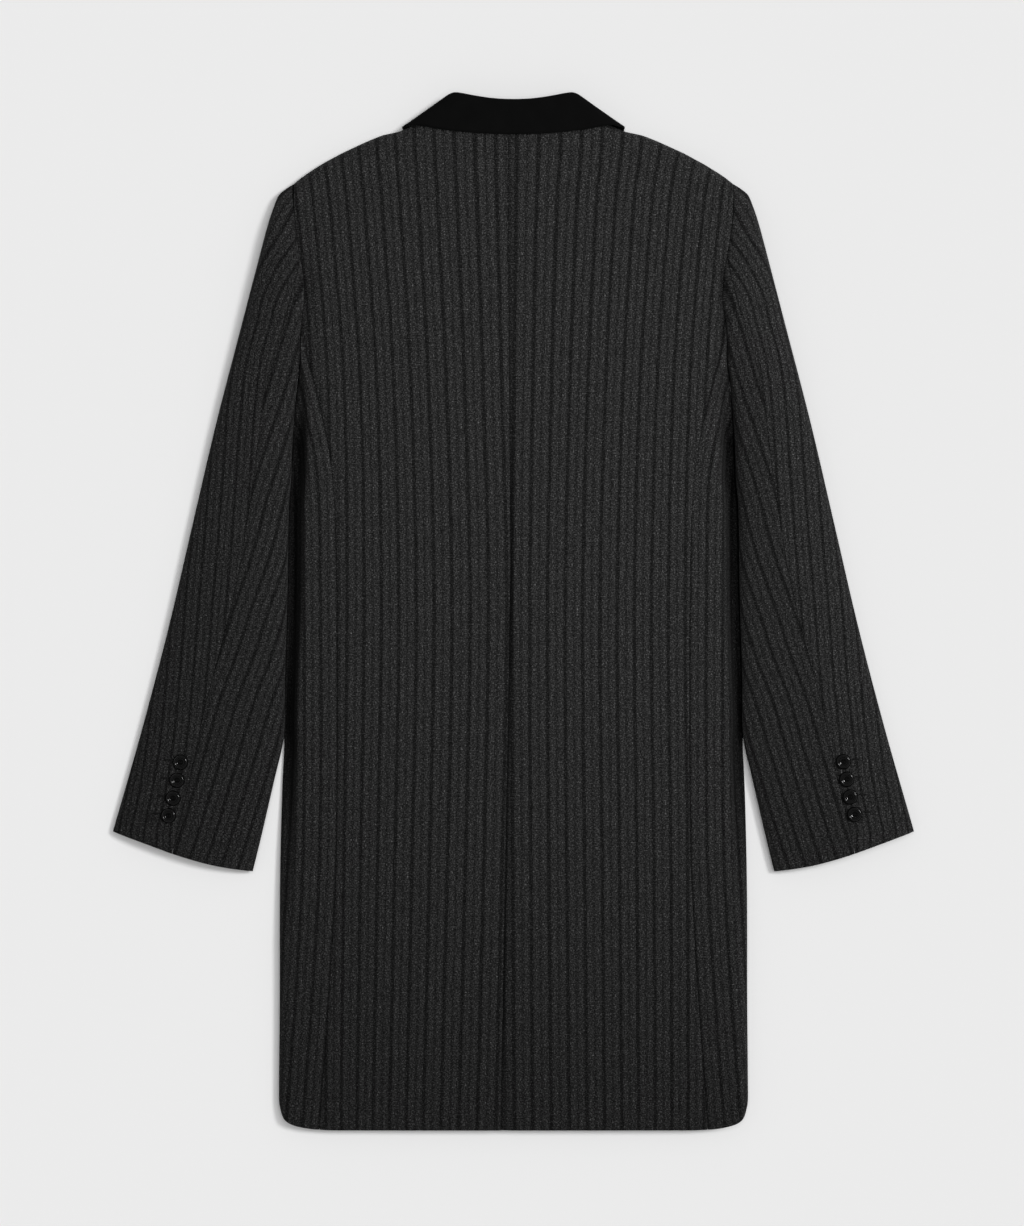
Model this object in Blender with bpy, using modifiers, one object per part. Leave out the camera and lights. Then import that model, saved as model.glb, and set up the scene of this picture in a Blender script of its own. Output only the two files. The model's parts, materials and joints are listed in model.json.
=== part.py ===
"""A chesterfield coat laid flat on its front, with its back up and its sleeves beside the body.

Lengths are millimetres until a point is placed. A plan point is (half, down): its distance from
the coat's middle line, and its distance below the top of the collar. +X is the wearer's right,
+Y points to the collar and +Z is up from the floor. The cloth is an open surface of section rows,
given its wall by Solidify. A panel that goes round a side fold has its rows run from a seam on the
upper layer, over the fold, to a seam on the lower layer, which rests on the floor.
"""

import math
from bisect import bisect_right

import bpy
from mathutils import Vector
from mathutils.bvhtree import BVHTree

MM = 0.001
LENGTH = 1039.0  # top of the collar to the hem
CLOTH = 2.0  # wall of the coating
VELVET = 2.0  # wall of the collar
SEAM = 0.3  # gap between two pieces at a seam
CROWNED_SEAM = (1.1, 0.5)  # the same on the sleeve's rounded upper side, at the armhole and below
TURNING = 4.0  # flat strip of the back beyond its shoulder fold
PLY = 2.6  # rise of a layer that lies on another one
LEFT, RIGHT = -1, 1

# Ends of the main seams: half and down
NECK_HALF = 88.0  # where the shoulder meets the neck
SHOULDER_HALF, SHOULDER_DOWN = 220.0, 90.8  # the shoulder's outer end
SIDE_TOP_BACK = 230.0  # down, top of the side panel at the back
FRONT_ARMHOLE_HALF, SIDE_TOP_FRONT = 203.0, 235.0  # the same at the front
UNDERARM_DOWN = 269.0
SLEEVE_SEAM_TOP, SLEEVE_SEAM_END, SEAM_BOW = 166.0, 762.0, 1.18  # back seam of the sleeve
SLEEVE_FOLD_END, FOLD_BOW = 780.0, 1.62  # its inner fold
FRONT_SEAM_END, FRONT_BOW = 774.0, 1.5  # its hidden front seam

# Body, plan curves: down, half
SHOULDER = ((88, 27.5), (100, 33.4), (111, 38.1), (120, 40.2), (129, 42.2), (143.5, 47.8),
            (157, 53.8), (170, 59.8), (181.5, 65.7), (192.5, 71.7), (202, 77.7), (211, 83.6),
            (220, 90.8))  # half, down
ARMHOLE_BACK = ((90.8, 220), (95, 220), (109, 219.8), (120, 219.5), (136, 218), (150, 216), (166, 213.3),
                (186, 210), (208, 209.4), (230, 212), (250, 213.2), (269, 213))
ARMHOLE_FRONT = ((90.8, 220), (95, 220), (109, 219.5), (125, 215.5), (145, 209.5), (170, 203), (195, 199.2),
                 (215, 199.5), (235, 203), (252, 208.5), (269, 213))
SIDE_BACK_SEAM = ((230, 212), (268, 205), (298, 197), (344, 187), (390, 180.5), (468, 177),
                  (608, 176), (752, 177), (826, 180), (929, 186.5), (981, 190.5), (1039, 194.5))
SIDE_FRONT_SEAM = ((235, 203), (268, 198), (330, 191), (400, 186), (500, 182), (650, 180),
                   (800, 179), (1039, 177))
BODY_EDGE = ((269, 212.6), (289, 216.0), (347, 220.9), (387, 222.3), (414, 224.6), (493, 225.8),
             (583, 228.2), (644, 229.6), (700, 232.2), (798, 234.2), (908, 234.4), (1000, 235.2),
             (1012, 235), (1022, 233))
HEM = ((180, 1039), (195, 1038.4), (204, 1037.5), (212, 1036.2), (221, 1033.8), (227, 1030.8),
       (230.5, 1027.4), (233, 1022))  # half, down
CENTRE_SEAM = ((30, -5.5), (208, -4.5), (470, -2.9), (573, -4.5), (1039, -13))  # down, x
FRONT_EDGE = ((45.8, 88), (57, 71), (70, 56), (82, 41.6), (347, -25), (1037, -25))

# Sleeve, plan curves
SLEEVE_OUTER = ((0, 220, 90.8), (0.02, 228.6, 96.4), (0.04, 235.2, 102.4), (0.06, 239.4, 112),
                (0.1, 245.8, 131), (0.16, 256.2, 170), (0.25, 272.1, 231), (0.4, 298, 331),
                (0.55, 322.1, 434), (0.7, 346.4, 538), (0.85, 372.6, 638),
                (1, 401.7, 740))  # share, half, down
SLEEVE_INNER = ((269, 213), (289, 216.5), (347, 221.4), (387, 222.8), (414, 225.1), (493, 226.3),
                (583, 229), (644, 230.1), (688, 239.7), (708, 244.3), (748, 253.6), (780, 261.5))
SLEEVE_BACK_SEAM = ((166, 213.3), (200, 221), (235, 231), (269, 242), (308, 250), (360, 256.5),
                    (418, 264.5), (470, 273), (520, 283.5), (570, 297), (620, 310), (683, 323.5),
                    (762, 341.8))

# Hidden fronts: down, half
LAPEL_EDGE = ((73, 132), (140, 125), (195, 96), (262, 50), (315, 5), (343, -20))
LIFTED_BY_LAPEL = ((0, 118), (112, 134), (195, 98), (262, 52), (347, -25), (400, -60))
LAPEL_MARGIN = 50.0  # how far beyond the lapel the front comes down to the floor
LAPEL_LIFT_END = 386.0
LAPEL_TOP = 82.0
LAPEL_SLANT = 34.0  # how far its upper edge slants down
LEFT_LAPEL_END, RIGHT_LAPEL_END = 338.0, 296.0
OVERLAP_HALF = 75.0  # reach of the two fronts' overlap, with its slope
OVERLAP_TOP, CROSSING_END = 190.0, 420.0
FRONT_SLANT = 63.3  # how much higher the front's neck edge starts than its shoulder end
FRONT_SLANT_END = 234.0
SHOULDER_BOW_END = 122.0

UNDER_FOLD = 24.0  # inner edge of the sleeve to its hidden front seam

# Heights of the upper layer: down or share, height
BODY_HEIGHT = ((0, 17), (95, 20), (220, 22), (420, 20), (650, 18), (900, 16.5), (1039, 15.5))
SLEEVE_HEIGHT = ((0, 22), (0.12, 24.5), (0.3, 23), (0.55, 21), (0.8, 18), (1, 16))
CROWN = 0.10  # share of the height lost from the middle line to the side
SLEEVE_CROWN = 0.08
MIDDLE = 0.45  # share of the height at which a fold turns under
FOLD = 14.0  # width of the rounded fold
SLEEVE_FOLD = 11.0

# Hem and vent
HEM_CORNER = 17.0  # rise of the hem at the side folds
SIDE_HALF = 233.0  # half width of the body near the hem
HEM_CORNER_START = 0.91  # share of the side seam where the fold starts to follow it
CUFF_BOW, CUFF_BOW_HALF, CUFF_BOW_WIDTH = 2.6, 341.8, 80.3  # roundness of the cuff's inner part
VENT_TOP = 573.0
UNDERLAP = 40.0
VENT_RAMP = 14.0
VENT_STEP = 2.4  # how far the underlap lies below the other panel

# Back neck seam: down at the middle, and how much higher it is at the shoulders
NECK_DOWN, NECK_RISE = 30.3, 2.8

# Collar columns, from the middle of the back: plan points of the top fold, the lower edge and
# the neck seam, each as half, down
COLLAR = (
    # fold, edge, neck seam, layer
    ((0, 7), (0, 42.3), (0, 30), "top"),
    ((20, 6.1), (37, 41.2), (28, 29.7), "top"),
    ((40, 3.2), (74, 37.2), (54, 29.0), "top"),
    ((52, 0.9), (96, 33), (71.5, 27.9), "top"),
    ((59.4, 0), (104, 33.2), (79, 26.2), "over"),
    ((64, 1.1), (109.7, 33.7), (82.8, 25.2), "over"),
    ((65.2, 2.8), (111.6, 34.0), (83.2, 24.8), "edge"),
    ((65, 5.0), (111.1, 36.5), (83.6, 28.4), "under"),
    ((63, 10.4), (109.8, 42.4), (84.1, 34.5), "under"),
    ((57, 25), (106.8, 52), (80, 48.8), "bottom"),
    ((50, 50), (99, 72), (63, 62.2), "bottom"),
    ((44, 71), (92, 86), (52, 71.8), "bottom"),
)
FOLD_RADIUS = 2.7  # outer radius of the collar's top fold

# Cuff buttons, half and down, and their profile: radius, height
BUTTONS = ((331.7, 670.2), (335.2, 688.2), (339, 706.3), (343.5, 724))
BUTTON_PROFILE = ((0, 1.8), (4.1, 1.9), (5.0, 3.0), (5.9, 3.5), (6.9, 3.1), (7.6, 2.1), (7.3, 0.9),
                  (5.6, 0), (0, 0))
BUTTON_SIDES = 20
BUTTON_LIFT = 0.4

QUARTER = (0.0, 30.0, 60.0, 90.0)  # steps of a fold, in degrees from its edge to the flat


def remove_everything():
    for item in list(bpy.data.objects):
        bpy.data.objects.remove(item, do_unlink=True)


def curve(rows):
    """A smooth curve through the rows (key, value, ...), as a function of the key."""
    keys = [row[0] for row in rows]
    values = [row[1:] for row in rows]
    last = len(rows) - 1

    def slope(i, c):
        before, after = max(i - 1, 0), min(i + 1, last)
        return (values[after][c] - values[before][c]) / (keys[after] - keys[before])

    def at(key):
        key = min(max(key, keys[0]), keys[-1])
        i = min(max(bisect_right(keys, key) - 1, 0), last - 1)
        step = keys[i + 1] - keys[i]
        t = (key - keys[i]) / step
        out = []
        for c in range(len(values[0])):
            start, end = values[i][c], values[i + 1][c]
            rise = (start * (1 + 2 * t) * (1 - t) ** 2 + end * t * t * (3 - 2 * t)
                    + step * slope(i, c) * t * (1 - t) ** 2 - step * slope(i + 1, c) * t * t * (1 - t))
            out.append(rise)
        return out[0] if len(out) == 1 else tuple(out)

    return at


def broken_line(rows):
    """Straight runs between the rows (key, value), as a function of the key."""
    def at(key):
        key = min(max(key, rows[0][0]), rows[-1][0])
        for (k0, v0), (k1, v1) in zip(rows, rows[1:]):
            if key <= k1:
                return v0 + (v1 - v0) * (key - k0) / (k1 - k0)
        return rows[-1][1]

    return at


shoulder = curve(SHOULDER)
armhole_back = curve(ARMHOLE_BACK)
armhole_front = curve(ARMHOLE_FRONT)
side_back_seam = curve(SIDE_BACK_SEAM)
side_front_seam = curve(SIDE_FRONT_SEAM)
body_edge = curve(BODY_EDGE)
centre_seam = broken_line(CENTRE_SEAM)
hem_down = curve(HEM)
front_edge = broken_line(FRONT_EDGE)
lapel_edge = broken_line(LAPEL_EDGE)
lifted_by_lapel = broken_line(LIFTED_BY_LAPEL)
sleeve_outer = curve(SLEEVE_OUTER)
sleeve_inner = curve(SLEEVE_INNER)
sleeve_back_seam = curve(SLEEVE_BACK_SEAM)
height_at_centre = curve(BODY_HEIGHT)
sleeve_height_at = curve(SLEEVE_HEIGHT)


def mix(a, b, t):
    return a + (b - a) * t


def mix_points(a, b, t):
    return tuple(mix(p, q, t) for p, q in zip(a, b))


def fade(value, end):
    """1 at 0, easing to 0 at end."""
    return max(0.0, 1.0 - value / end) ** 2


def body_height(half, down):
    return height_at_centre(down) * (1 - CROWN * (half / SIDE_HALF) ** 2)


def neck_down(half):
    """The back neck seam: shallow, a little higher at the sides."""
    return NECK_DOWN - NECK_RISE * (half / NECK_HALF) ** 2


def place(side, point):
    half, down, z = point
    return Vector((side * half * MM, (LENGTH / 2 - down) * MM, z * MM))


def fold_height(top, bottom, degrees, layer):
    """Height on a rounded fold: its edge is at 0 degrees and the flat layer at 90."""
    middle = mix(bottom, top, MIDDLE)
    end = top if layer == "top" else bottom
    return mix(middle, end, math.sin(math.radians(degrees)))


def fold_share(degrees):
    """Share of the fold's width, from its edge, at an angle."""
    return 1 - math.cos(math.radians(degrees))


def material(name, colour, roughness, metallic=0.0):
    made = bpy.data.materials.new(name)
    made.use_nodes = True
    shader = made.node_tree.nodes["Principled BSDF"]
    shader.inputs["Base Color"].default_value = (*colour, 1)
    shader.inputs["Roughness"].default_value = roughness
    shader.inputs["Metallic"].default_value = metallic
    return made


def surface(rows, keep, side):
    """Points and quads of the rows; keep(row, column) says which quads there are."""
    across = len(rows[0])
    quads = []
    for r in range(len(rows) - 1):
        for c in range(across - 1):
            if keep(r, c):
                a, b = r * across + c, r * across + c + 1
                quad = (a, a + across, b + across, b)
                quads.append(quad if side == RIGHT else quad[::-1])
    used = sorted({i for quad in quads for i in quad})
    number = {old: new for new, old in enumerate(used)}
    flat = [point for row in rows for point in row]
    return [flat[i] for i in used], [tuple(number[i] for i in quad) for quad in quads]


def cloth(name, rows, side, look, parts, wall=CLOTH, keep=lambda r, c: True):
    """One panel: the open outer surface of its rows, with a wall added on its inner side."""
    points, quads = surface(rows, keep, side)
    mesh = bpy.data.meshes.new(name)
    mesh.from_pydata(points, [], quads)
    mesh.materials.append(look)
    mesh.shade_smooth()
    made = bpy.data.objects.new(name, mesh)
    parts.objects.link(made)
    solid = made.modifiers.new("wall", "SOLIDIFY")
    solid.thickness = wall * MM
    solid.offset = -1
    solid.use_rim = True
    return made


# Rows along the side-back seam, shared by the panels on its two sides
SEAM_DOWNS = (230, 250, 275, 305, 345, 395, 450, 520, 603, 680, 760, 840, 910, 970, 1010, 1028, 1039)
ARMHOLE_DOWNS = (120, 136, 150, 166, 186, 208)
SHOULDER_HALVES = (88, 111, 129, 150, 170, 190, 206, 220)
NECK_HALVES = (0, 30, 60)


def under_rise(half, down, side):
    """How far the fronts are lifted by what lies between them and the floor."""
    on_lapel = half < lifted_by_lapel(down) + LAPEL_MARGIN and down < LAPEL_LIFT_END
    over_lapel = PLY if on_lapel else 0.0
    if side == LEFT:
        return over_lapel
    if half < OVERLAP_HALF and down > OVERLAP_TOP:
        return 2 * PLY if down < CROSSING_END else PLY
    return over_lapel


def back_rows(side):
    """The back panel's rows, from its lower layer over the shoulder fold and down to the hem."""
    halves = NECK_HALVES + SHOULDER_HALVES
    start = [neck_down(h) for h in NECK_HALVES] + [shoulder(h) for h in SHOULDER_HALVES]
    rows = []
    under = [(90, FOLD + TURNING)] + [(d, FOLD * fold_share(d)) for d in QUARTER[:0:-1]]
    for degrees, in_from_edge in under:
        row = []
        for half, top in zip(halves, start):
            z = fold_height(body_height(half, top), under_rise(half, top, side), degrees, "bottom")
            down = top + in_from_edge
            half = min(half, armhole_front(down) - SEAM)
            row.append(place(side, (half, down, z)))
        rows.append(row)
    folds = [SHOULDER_DOWN + FOLD * fold_share(degrees) for degrees in QUARTER]
    side_downs = folds + list(ARMHOLE_DOWNS) + list(SEAM_DOWNS)
    for r, side_down in enumerate(side_downs):
        share = (side_down - SHOULDER_DOWN) / (LENGTH - SHOULDER_DOWN)
        outer = (armhole_back if side_down < SIDE_TOP_BACK else side_back_seam)(side_down)
        row = []
        for half, down in zip(halves, start):
            across = half / SHOULDER_HALF
            fallen = down + (hem_down(outer * across) - down) * share
            if r < len(folds) and half >= SHOULDER_HALVES[0]:
                fallen = down + FOLD * fold_share(QUARTER[r])
            # The middle edge follows the centre seam, and below it the edge of the vent.
            middle = side * centre_seam(fallen) + SEAM / 2
            x = mix(middle, outer - SEAM / 2, across)
            z = body_height(x, fallen)
            if r < len(folds) and half >= SHOULDER_HALVES[0]:
                z = fold_height(z, 0, QUARTER[r], "top")
            if side == RIGHT and fallen > VENT_TOP + 1:
                z -= VENT_STEP * max(0.0, 1 - (x - middle) / VENT_RAMP)
            row.append((x, fallen, z))
        rows.append([place(side, point) for point in row])
    return rows


def back_panel(side, name, look, parts):
    rows = back_rows(side)
    wrap = len(QUARTER)
    neck = len(NECK_HALVES)
    if side == LEFT:
        return cloth(name, rows, side, look, parts, keep=lambda r, c: r >= wrap or c >= neck)
    # The right panel's underlap: extra columns beside the vent, below its top.
    lap_steps = 2
    lapped = []
    first = None
    for r, row in enumerate(rows):
        down = LENGTH / 2 - row[0].y / MM
        extra = []
        for step in range(lap_steps, 0, -1):
            x = row[0].x - UNDERLAP * MM * step / lap_steps
            extra.append(Vector((x, row[0].y, row[0].z)))
        if first is None and r > wrap and down > VENT_TOP + 1:
            first = r
        lapped.append(extra + row)
    return cloth(
        name, lapped, side, look, parts,
        keep=lambda r, c: r >= first if c < lap_steps else r >= wrap or c >= neck + lap_steps)


def folded_row(start, edge, end, shares, folds, tops, floor=0.0):
    """One row that goes from start over the fold at edge to end: plan points and heights.

    shares are the flat columns of the upper and lower layer, folds their fold widths, and tops the
    heights of the upper layer at start and where its fold begins."""
    row = []
    upper, lower = shares
    reach = math.dist(start, edge)
    width = min(folds[0], 0.75 * reach)
    flat = 1 - width / reach
    for share in upper:
        half, down = mix_points(start, edge, share * flat)
        row.append((half, down, mix(tops[0], tops[1], share)))
    for degrees in QUARTER[-2::-1]:
        half, down = mix_points(edge, start, fold_share(degrees) * width / reach)
        row.append((half, down, fold_height(tops[1], floor, degrees, "top")))
    reach = math.dist(edge, end)
    width = min(folds[1], 0.75 * reach)
    flat = 1 - width / reach
    for degrees in QUARTER[1:]:
        half, down = mix_points(edge, end, fold_share(degrees) * width / reach)
        row.append((half, down, fold_height(tops[1], floor, degrees, "bottom")))
    for share in lower[1:]:
        half, down = mix_points(end, edge, (1 - share) * flat)
        row.append((half, down, floor))
    return row


def bend(row, corrections, amount):
    """Moves the columns by their corrections, to follow the armhole."""
    return [(half + dh * amount, down, z) for (half, down, z), dh in zip(row, corrections)]


def armhole_corrections(row, split, sign):
    """How far each column of the first row lies from the armhole, in half width."""
    out = []
    for i, (half, down, _) in enumerate(row):
        line = armhole_back if i <= split else armhole_front
        out.append(line(down) + sign * SEAM / 2 - half)
    return out


def side_rows():
    """Side panel: side-back seam, over the side fold, to the side-front seam."""
    rows = []
    shares = ((0, 0.5, 1), (0, 0.5, 1))
    fix = None
    for seam_down in SEAM_DOWNS:
        along = (seam_down - SIDE_TOP_BACK) / (LENGTH - SIDE_TOP_BACK)
        start = (side_back_seam(seam_down) + SEAM / 2, seam_down)
        corner = max(0.0, (along - HEM_CORNER_START) / (1 - HEM_CORNER_START)) ** 2
        to_underarm = UNDERARM_DOWN - SIDE_TOP_BACK
        edge_down = seam_down + to_underarm * fade(along, 0.2) - HEM_CORNER * corner
        edge = (body_edge(edge_down), edge_down)
        to_front = SIDE_TOP_FRONT - SIDE_TOP_BACK
        end_down = seam_down + to_front * fade(along, 0.2) - 2 * along
        end = (side_front_seam(end_down) + SEAM / 2, end_down)
        tops = (body_height(*start), body_height(*edge))
        row = folded_row(start, edge, end, shares, (FOLD, FOLD), tops)
        if fix is None:
            fix = armhole_corrections(row, 5, -1)
        row = bend(row, fix, fade(along, 0.12))
        rows.append((row, corner))
    # Near the hem the rows round out to its corner.
    rounding = [hem_down(half) - down for half, down, _ in rows[-1][0]]
    return [[(half, down + lift * corner, z) for (half, down, z), lift in zip(row, rounding)]
            for row, corner in rows]


SLEEVE_SHARES = (0, 0.02, 0.04, 0.065, 0.1, 0.14, 0.19, 0.25, 0.32, 0.39, 0.46, 0.54, 0.62, 0.70,
                 0.78, 0.86, 0.93, 1)


def sleeve_lines(share):
    """Plan points of a sleeve row: outer edge, back seam, inner edge and hidden front seam.

    The rows start along the armhole and turn square to the sleeve on the way down."""
    outer = sleeve_outer(share)
    seam_down = mix(SLEEVE_SEAM_TOP, SLEEVE_SEAM_END, share ** SEAM_BOW)
    inner_down = mix(UNDERARM_DOWN, SLEEVE_FOLD_END, share ** FOLD_BOW)
    front_down = mix(SIDE_TOP_FRONT, FRONT_SEAM_END, share ** FRONT_BOW)
    seam = (sleeve_back_seam(seam_down), seam_down)
    inner = (sleeve_inner(inner_down), inner_down)
    away = UNDER_FOLD * min(1.0, share / 0.25)
    inside = sleeve_inner(max(front_down, UNDERARM_DOWN)) + away
    front = (mix(FRONT_ARMHOLE_HALF, inside, min(1.0, share / 0.12)), front_down)
    return outer, seam, inner, front


def sleeve_tops(share, seam, inner, outer):
    """Heights at the back seam and where each fold begins."""
    crown = sleeve_height_at(share)
    width = math.dist(seam, inner) + math.dist(seam, outer)
    across = math.dist(seam, inner) / width
    loss = SLEEVE_CROWN * min(1.0, share / 0.15)
    at_seam = crown * (1 - loss * (2 * across - 1) ** 2)
    ends = crown * (1 - loss)
    blend = fade(share, 0.12)
    at_seam = mix(at_seam, body_height(*seam), blend)
    return at_seam, mix(ends, body_height(*outer), blend), mix(ends, body_height(*inner), blend)


def bowed(row, share):
    """Rounds the rows near the cuff."""
    out = []
    for half, down, z in row:
        across = min(1.0, max(0.0, (CUFF_BOW_HALF - half) / CUFF_BOW_WIDTH))
        out.append((half, down + CUFF_BOW * math.sin(math.pi * across) * share ** 6, z))
    return out


def crowned_gap(share):
    return mix(*CROWNED_SEAM, min(1.0, share / 0.2))


def top_sleeve_rows():
    """Top sleeve: back seam, over the outer fold, to the hidden front seam."""
    upper = (0, 0.28, 0.53, 0.81, 1)
    lower = (0, 0.04, 0.13, 0.29, 0.48, 0.68, 0.84, 1)
    rows = []
    fix = None
    for share in SLEEVE_SHARES:
        outer, seam, inner, front = sleeve_lines(share)
        at_seam, at_outer, _ = sleeve_tops(share, seam, inner, outer)
        start = (seam[0] + crowned_gap(share) / 2, seam[1])
        end = (front[0] + SEAM / 2, front[1])
        row = folded_row(start, outer, end, (upper, lower), (FOLD, FOLD), (at_seam, at_outer))
        if fix is None:
            fix = [0.0] + armhole_corrections(row, 7, 1)[1:]
        rows.append(bowed(bend(row, fix, fade(share, 0.15)), share))
    return rows


def under_sleeve_rows():
    """Under sleeve: back seam, over the inner fold, to the hidden front seam."""
    upper = (0, 0.25, 0.5, 0.75, 1)
    lower = (0, 0.5, 1)
    rows = []
    fix = None
    for share in SLEEVE_SHARES:
        outer, seam, inner, front = sleeve_lines(share)
        at_seam, _, at_inner = sleeve_tops(share, seam, inner, outer)
        start = (seam[0] - crowned_gap(share) / 2, seam[1])
        end = (front[0] - SEAM / 2, front[1])
        folds = (mix(FOLD, SLEEVE_FOLD, min(1.0, share / 0.2)),) * 2
        row = folded_row(start, inner, end, (upper, lower), folds, (at_seam, at_inner))
        if fix is None:
            fix = armhole_corrections(row, 7, 1)
        rows.append(bowed(bend(row, fix, fade(share, 0.15)), share))
    return rows


def front_rows(side):
    """A front, outer side down: rows from the front edge to the armhole and the side-front seam."""
    side_downs = [row[-1][1] for row in side_rows()]
    start_down = SHOULDER_DOWN + FOLD + TURNING + SEAM
    outer_downs = [start_down, 125, 145, 170, 195, 215] + side_downs
    first = [(half, shoulder(half) + FOLD + TURNING + SEAM) for half in SHOULDER_HALVES]
    shares = [(half - NECK_HALF) / (SHOULDER_HALF - NECK_HALF) for half in SHOULDER_HALVES]
    rows = []
    for outer_down in outer_downs:
        slanted = max(0.0, 1 - (outer_down - start_down) / FRONT_SLANT_END)
        inner_down = outer_down - FRONT_SLANT * slanted
        inner = (front_edge(inner_down), inner_down)
        line = armhole_front if outer_down < SIDE_TOP_FRONT else side_front_seam
        outer = (line(outer_down) - SEAM / 2, outer_down)
        turned = fade(outer_down - start_down, SHOULDER_BOW_END)
        row = []
        for share, top in zip(shares, first):
            half, down = mix_points(inner, outer, share)
            chord = mix_points(first[0], first[-1], share)
            half += (top[0] - chord[0]) * turned
            down += (top[1] - chord[1]) * turned
            row.append(place(side, (half, down, under_rise(half, down, side))))
        rows.append(row)
    return rows


def lapel_rows(side):
    """A turned-back lapel, lying on the floor: rows from its roll line to its edge."""
    end = LEFT_LAPEL_END if side == LEFT else RIGHT_LAPEL_END
    rows = []
    steps = 8
    for step in range(steps + 1):
        share = step / steps
        down = mix(LAPEL_TOP, end, share)
        inner = front_edge(down)
        if side == RIGHT:
            inner = max(inner, 1.5 - front_edge(down))
        outer = lapel_edge(down)
        row = []
        for across in (0, 0.5, 1):
            slant = LAPEL_SLANT * across * fade(share, 0.3)
            row.append(place(side, (mix(inner, outer, across), down + slant, 0)))
        rows.append(row)
    return rows


def collar_rows():
    """The collar's columns, from the middle of the back to one front end."""
    upper, lower = crown_levels("top"), crown_levels("bottom")
    angles = {4: 60, 5: 30, 6: 0, 7: 30, 8: 60}
    columns = []
    for i, (fold, edge, seam, layer) in enumerate(COLLAR):
        turn = math.sin(math.radians(angles.get(i, 90)))
        goal = upper if layer in ("top", "over", "edge") else lower
        middle = [mix(b, t, MIDDLE) for b, t in zip(lower, upper)]
        edge_z, fold_z, stand_z = (mix(m, g, turn) for m, g in zip(middle, goal))
        along = Vector((edge[0] - fold[0], edge[1] - fold[1])).normalized()
        outward = Vector((along.y, -along.x))
        spread = 2 * FOLD_RADIUS * (1 - turn)
        shift = outward * spread
        near = Vector(fold) + along * FOLD_RADIUS
        fall_near = Vector((*near, fold_z))
        stand_near = Vector((*(near - shift), stand_z))
        fall_edge = Vector((*edge, edge_z))
        stand_edge = Vector((*seam, stand_z))
        column = [fall_edge.lerp(fall_near, t) for t in (0, 0.33, 0.67, 1)]
        centre = (fall_near + stand_near) / 2
        arm = (fall_near - stand_near) / 2
        tip = Vector((*(-along), 0)) * FOLD_RADIUS
        for degrees in (45, 90, 135):
            angle = math.radians(degrees)
            column.append(centre + arm * math.cos(angle) + tip * math.sin(angle))
        column += [stand_near.lerp(stand_edge, t) for t in (0, 0.5, 1)]
        columns.append(column)
    return columns


def crown_levels(layer):
    """Outer heights of the fall's edge, the fall at its fold, and the stand."""
    crown = body_height(60, 30)
    if layer == "top":
        return crown + CLOTH + 0.9, crown + 3.4, crown - VELVET
    return 0.0, 0.0, 2 * FOLD_RADIUS


def collar(look, parts):
    """The whole collar, both halves in one strip."""
    half = collar_rows()
    right = [[place(RIGHT, point) for point in column] for column in half]
    left = [[place(LEFT, point) for point in column] for column in half]
    rows = left[:0:-1] + right
    return cloth("collar", rows, RIGHT, look, parts, wall=VELVET)


def button(name, seat, normal, look, parts):
    """A turned button with a raised rim round a dished middle."""
    mesh = bpy.data.meshes.new(name)
    points = [(radius * MM, 0, height * MM) for radius, height in BUTTON_PROFILE]
    edges = [(i, i + 1) for i in range(len(points) - 1)]
    mesh.from_pydata(points, edges, [])
    mesh.materials.append(look)
    made = bpy.data.objects.new(name, mesh)
    made.location = seat + normal * BUTTON_LIFT * MM
    made.rotation_mode = "QUATERNION"
    made.rotation_quaternion = normal.to_track_quat("Z", "Y")
    parts.objects.link(made)
    turned = made.modifiers.new("turned", "SCREW")
    turned.steps = BUTTON_SIDES
    turned.render_steps = BUTTON_SIDES
    turned.use_merge_vertices = True
    turned.merge_threshold = 0.00001
    turned.use_smooth_shade = True
    return made


def cuff_buttons(side, word, rows, look, parts):
    """Four buttons, each seated on the sleeve's surface."""
    points, quads = surface(rows, lambda r, c: True, side)
    tree = BVHTree.FromPolygons(points, quads)
    for number, (half, down) in enumerate(BUTTONS, 1):
        above = place(side, (half, down, 100))
        seat, normal, _, _ = tree.ray_cast(above, Vector((0, 0, -1)))
        if normal.z < 0:
            normal = -normal
        button(f"cuff_button_{word}_{number}", seat, normal, look, parts)


def main():
    remove_everything()
    parts = bpy.data.collections.new("chesterfield_coat")
    bpy.context.scene.collection.children.link(parts)
    coating = material("coating", (0.022, 0.022, 0.022), 0.92)
    velvet = material("velvet", (0.004, 0.004, 0.004), 0.85)
    horn = material("button_black", (0.008, 0.008, 0.008), 0.18)
    for side, word in ((LEFT, "left"), (RIGHT, "right")):
        back_panel(side, f"back_{word}", coating, parts)
        placed = [[place(side, point) for point in row] for row in side_rows()]
        cloth(f"side_{word}", placed, side, coating, parts)
        cloth(f"front_{word}", front_rows(side), -side, coating, parts)
        cloth(f"lapel_{word}", lapel_rows(side), -side, coating, parts)
        top = [[place(side, point) for point in row] for row in top_sleeve_rows()]
        cloth(f"top_sleeve_{word}", top, side, coating, parts)
        under = [[place(side, point) for point in row] for row in under_sleeve_rows()]
        cloth(f"under_sleeve_{word}", under, -side, coating, parts)
        cuff_buttons(side, word, top, horn, parts)
    collar(velvet, parts)


main()
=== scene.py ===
"""The looks of a chesterfield coat laid flat on its front, back up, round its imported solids.

Lengths are millimetres until a point is placed. A plan point is (half, down): its distance from
the coat's middle line, and its distance below the top of the collar. Each cloth piece is a thin
shell on the form of its solid, with its own grain, stripes, pressed seams and creases.
"""

import json
import math
from bisect import bisect_right
from itertools import chain

import bmesh
import bpy
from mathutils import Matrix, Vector
from mathutils.bvhtree import BVHTree

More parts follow.
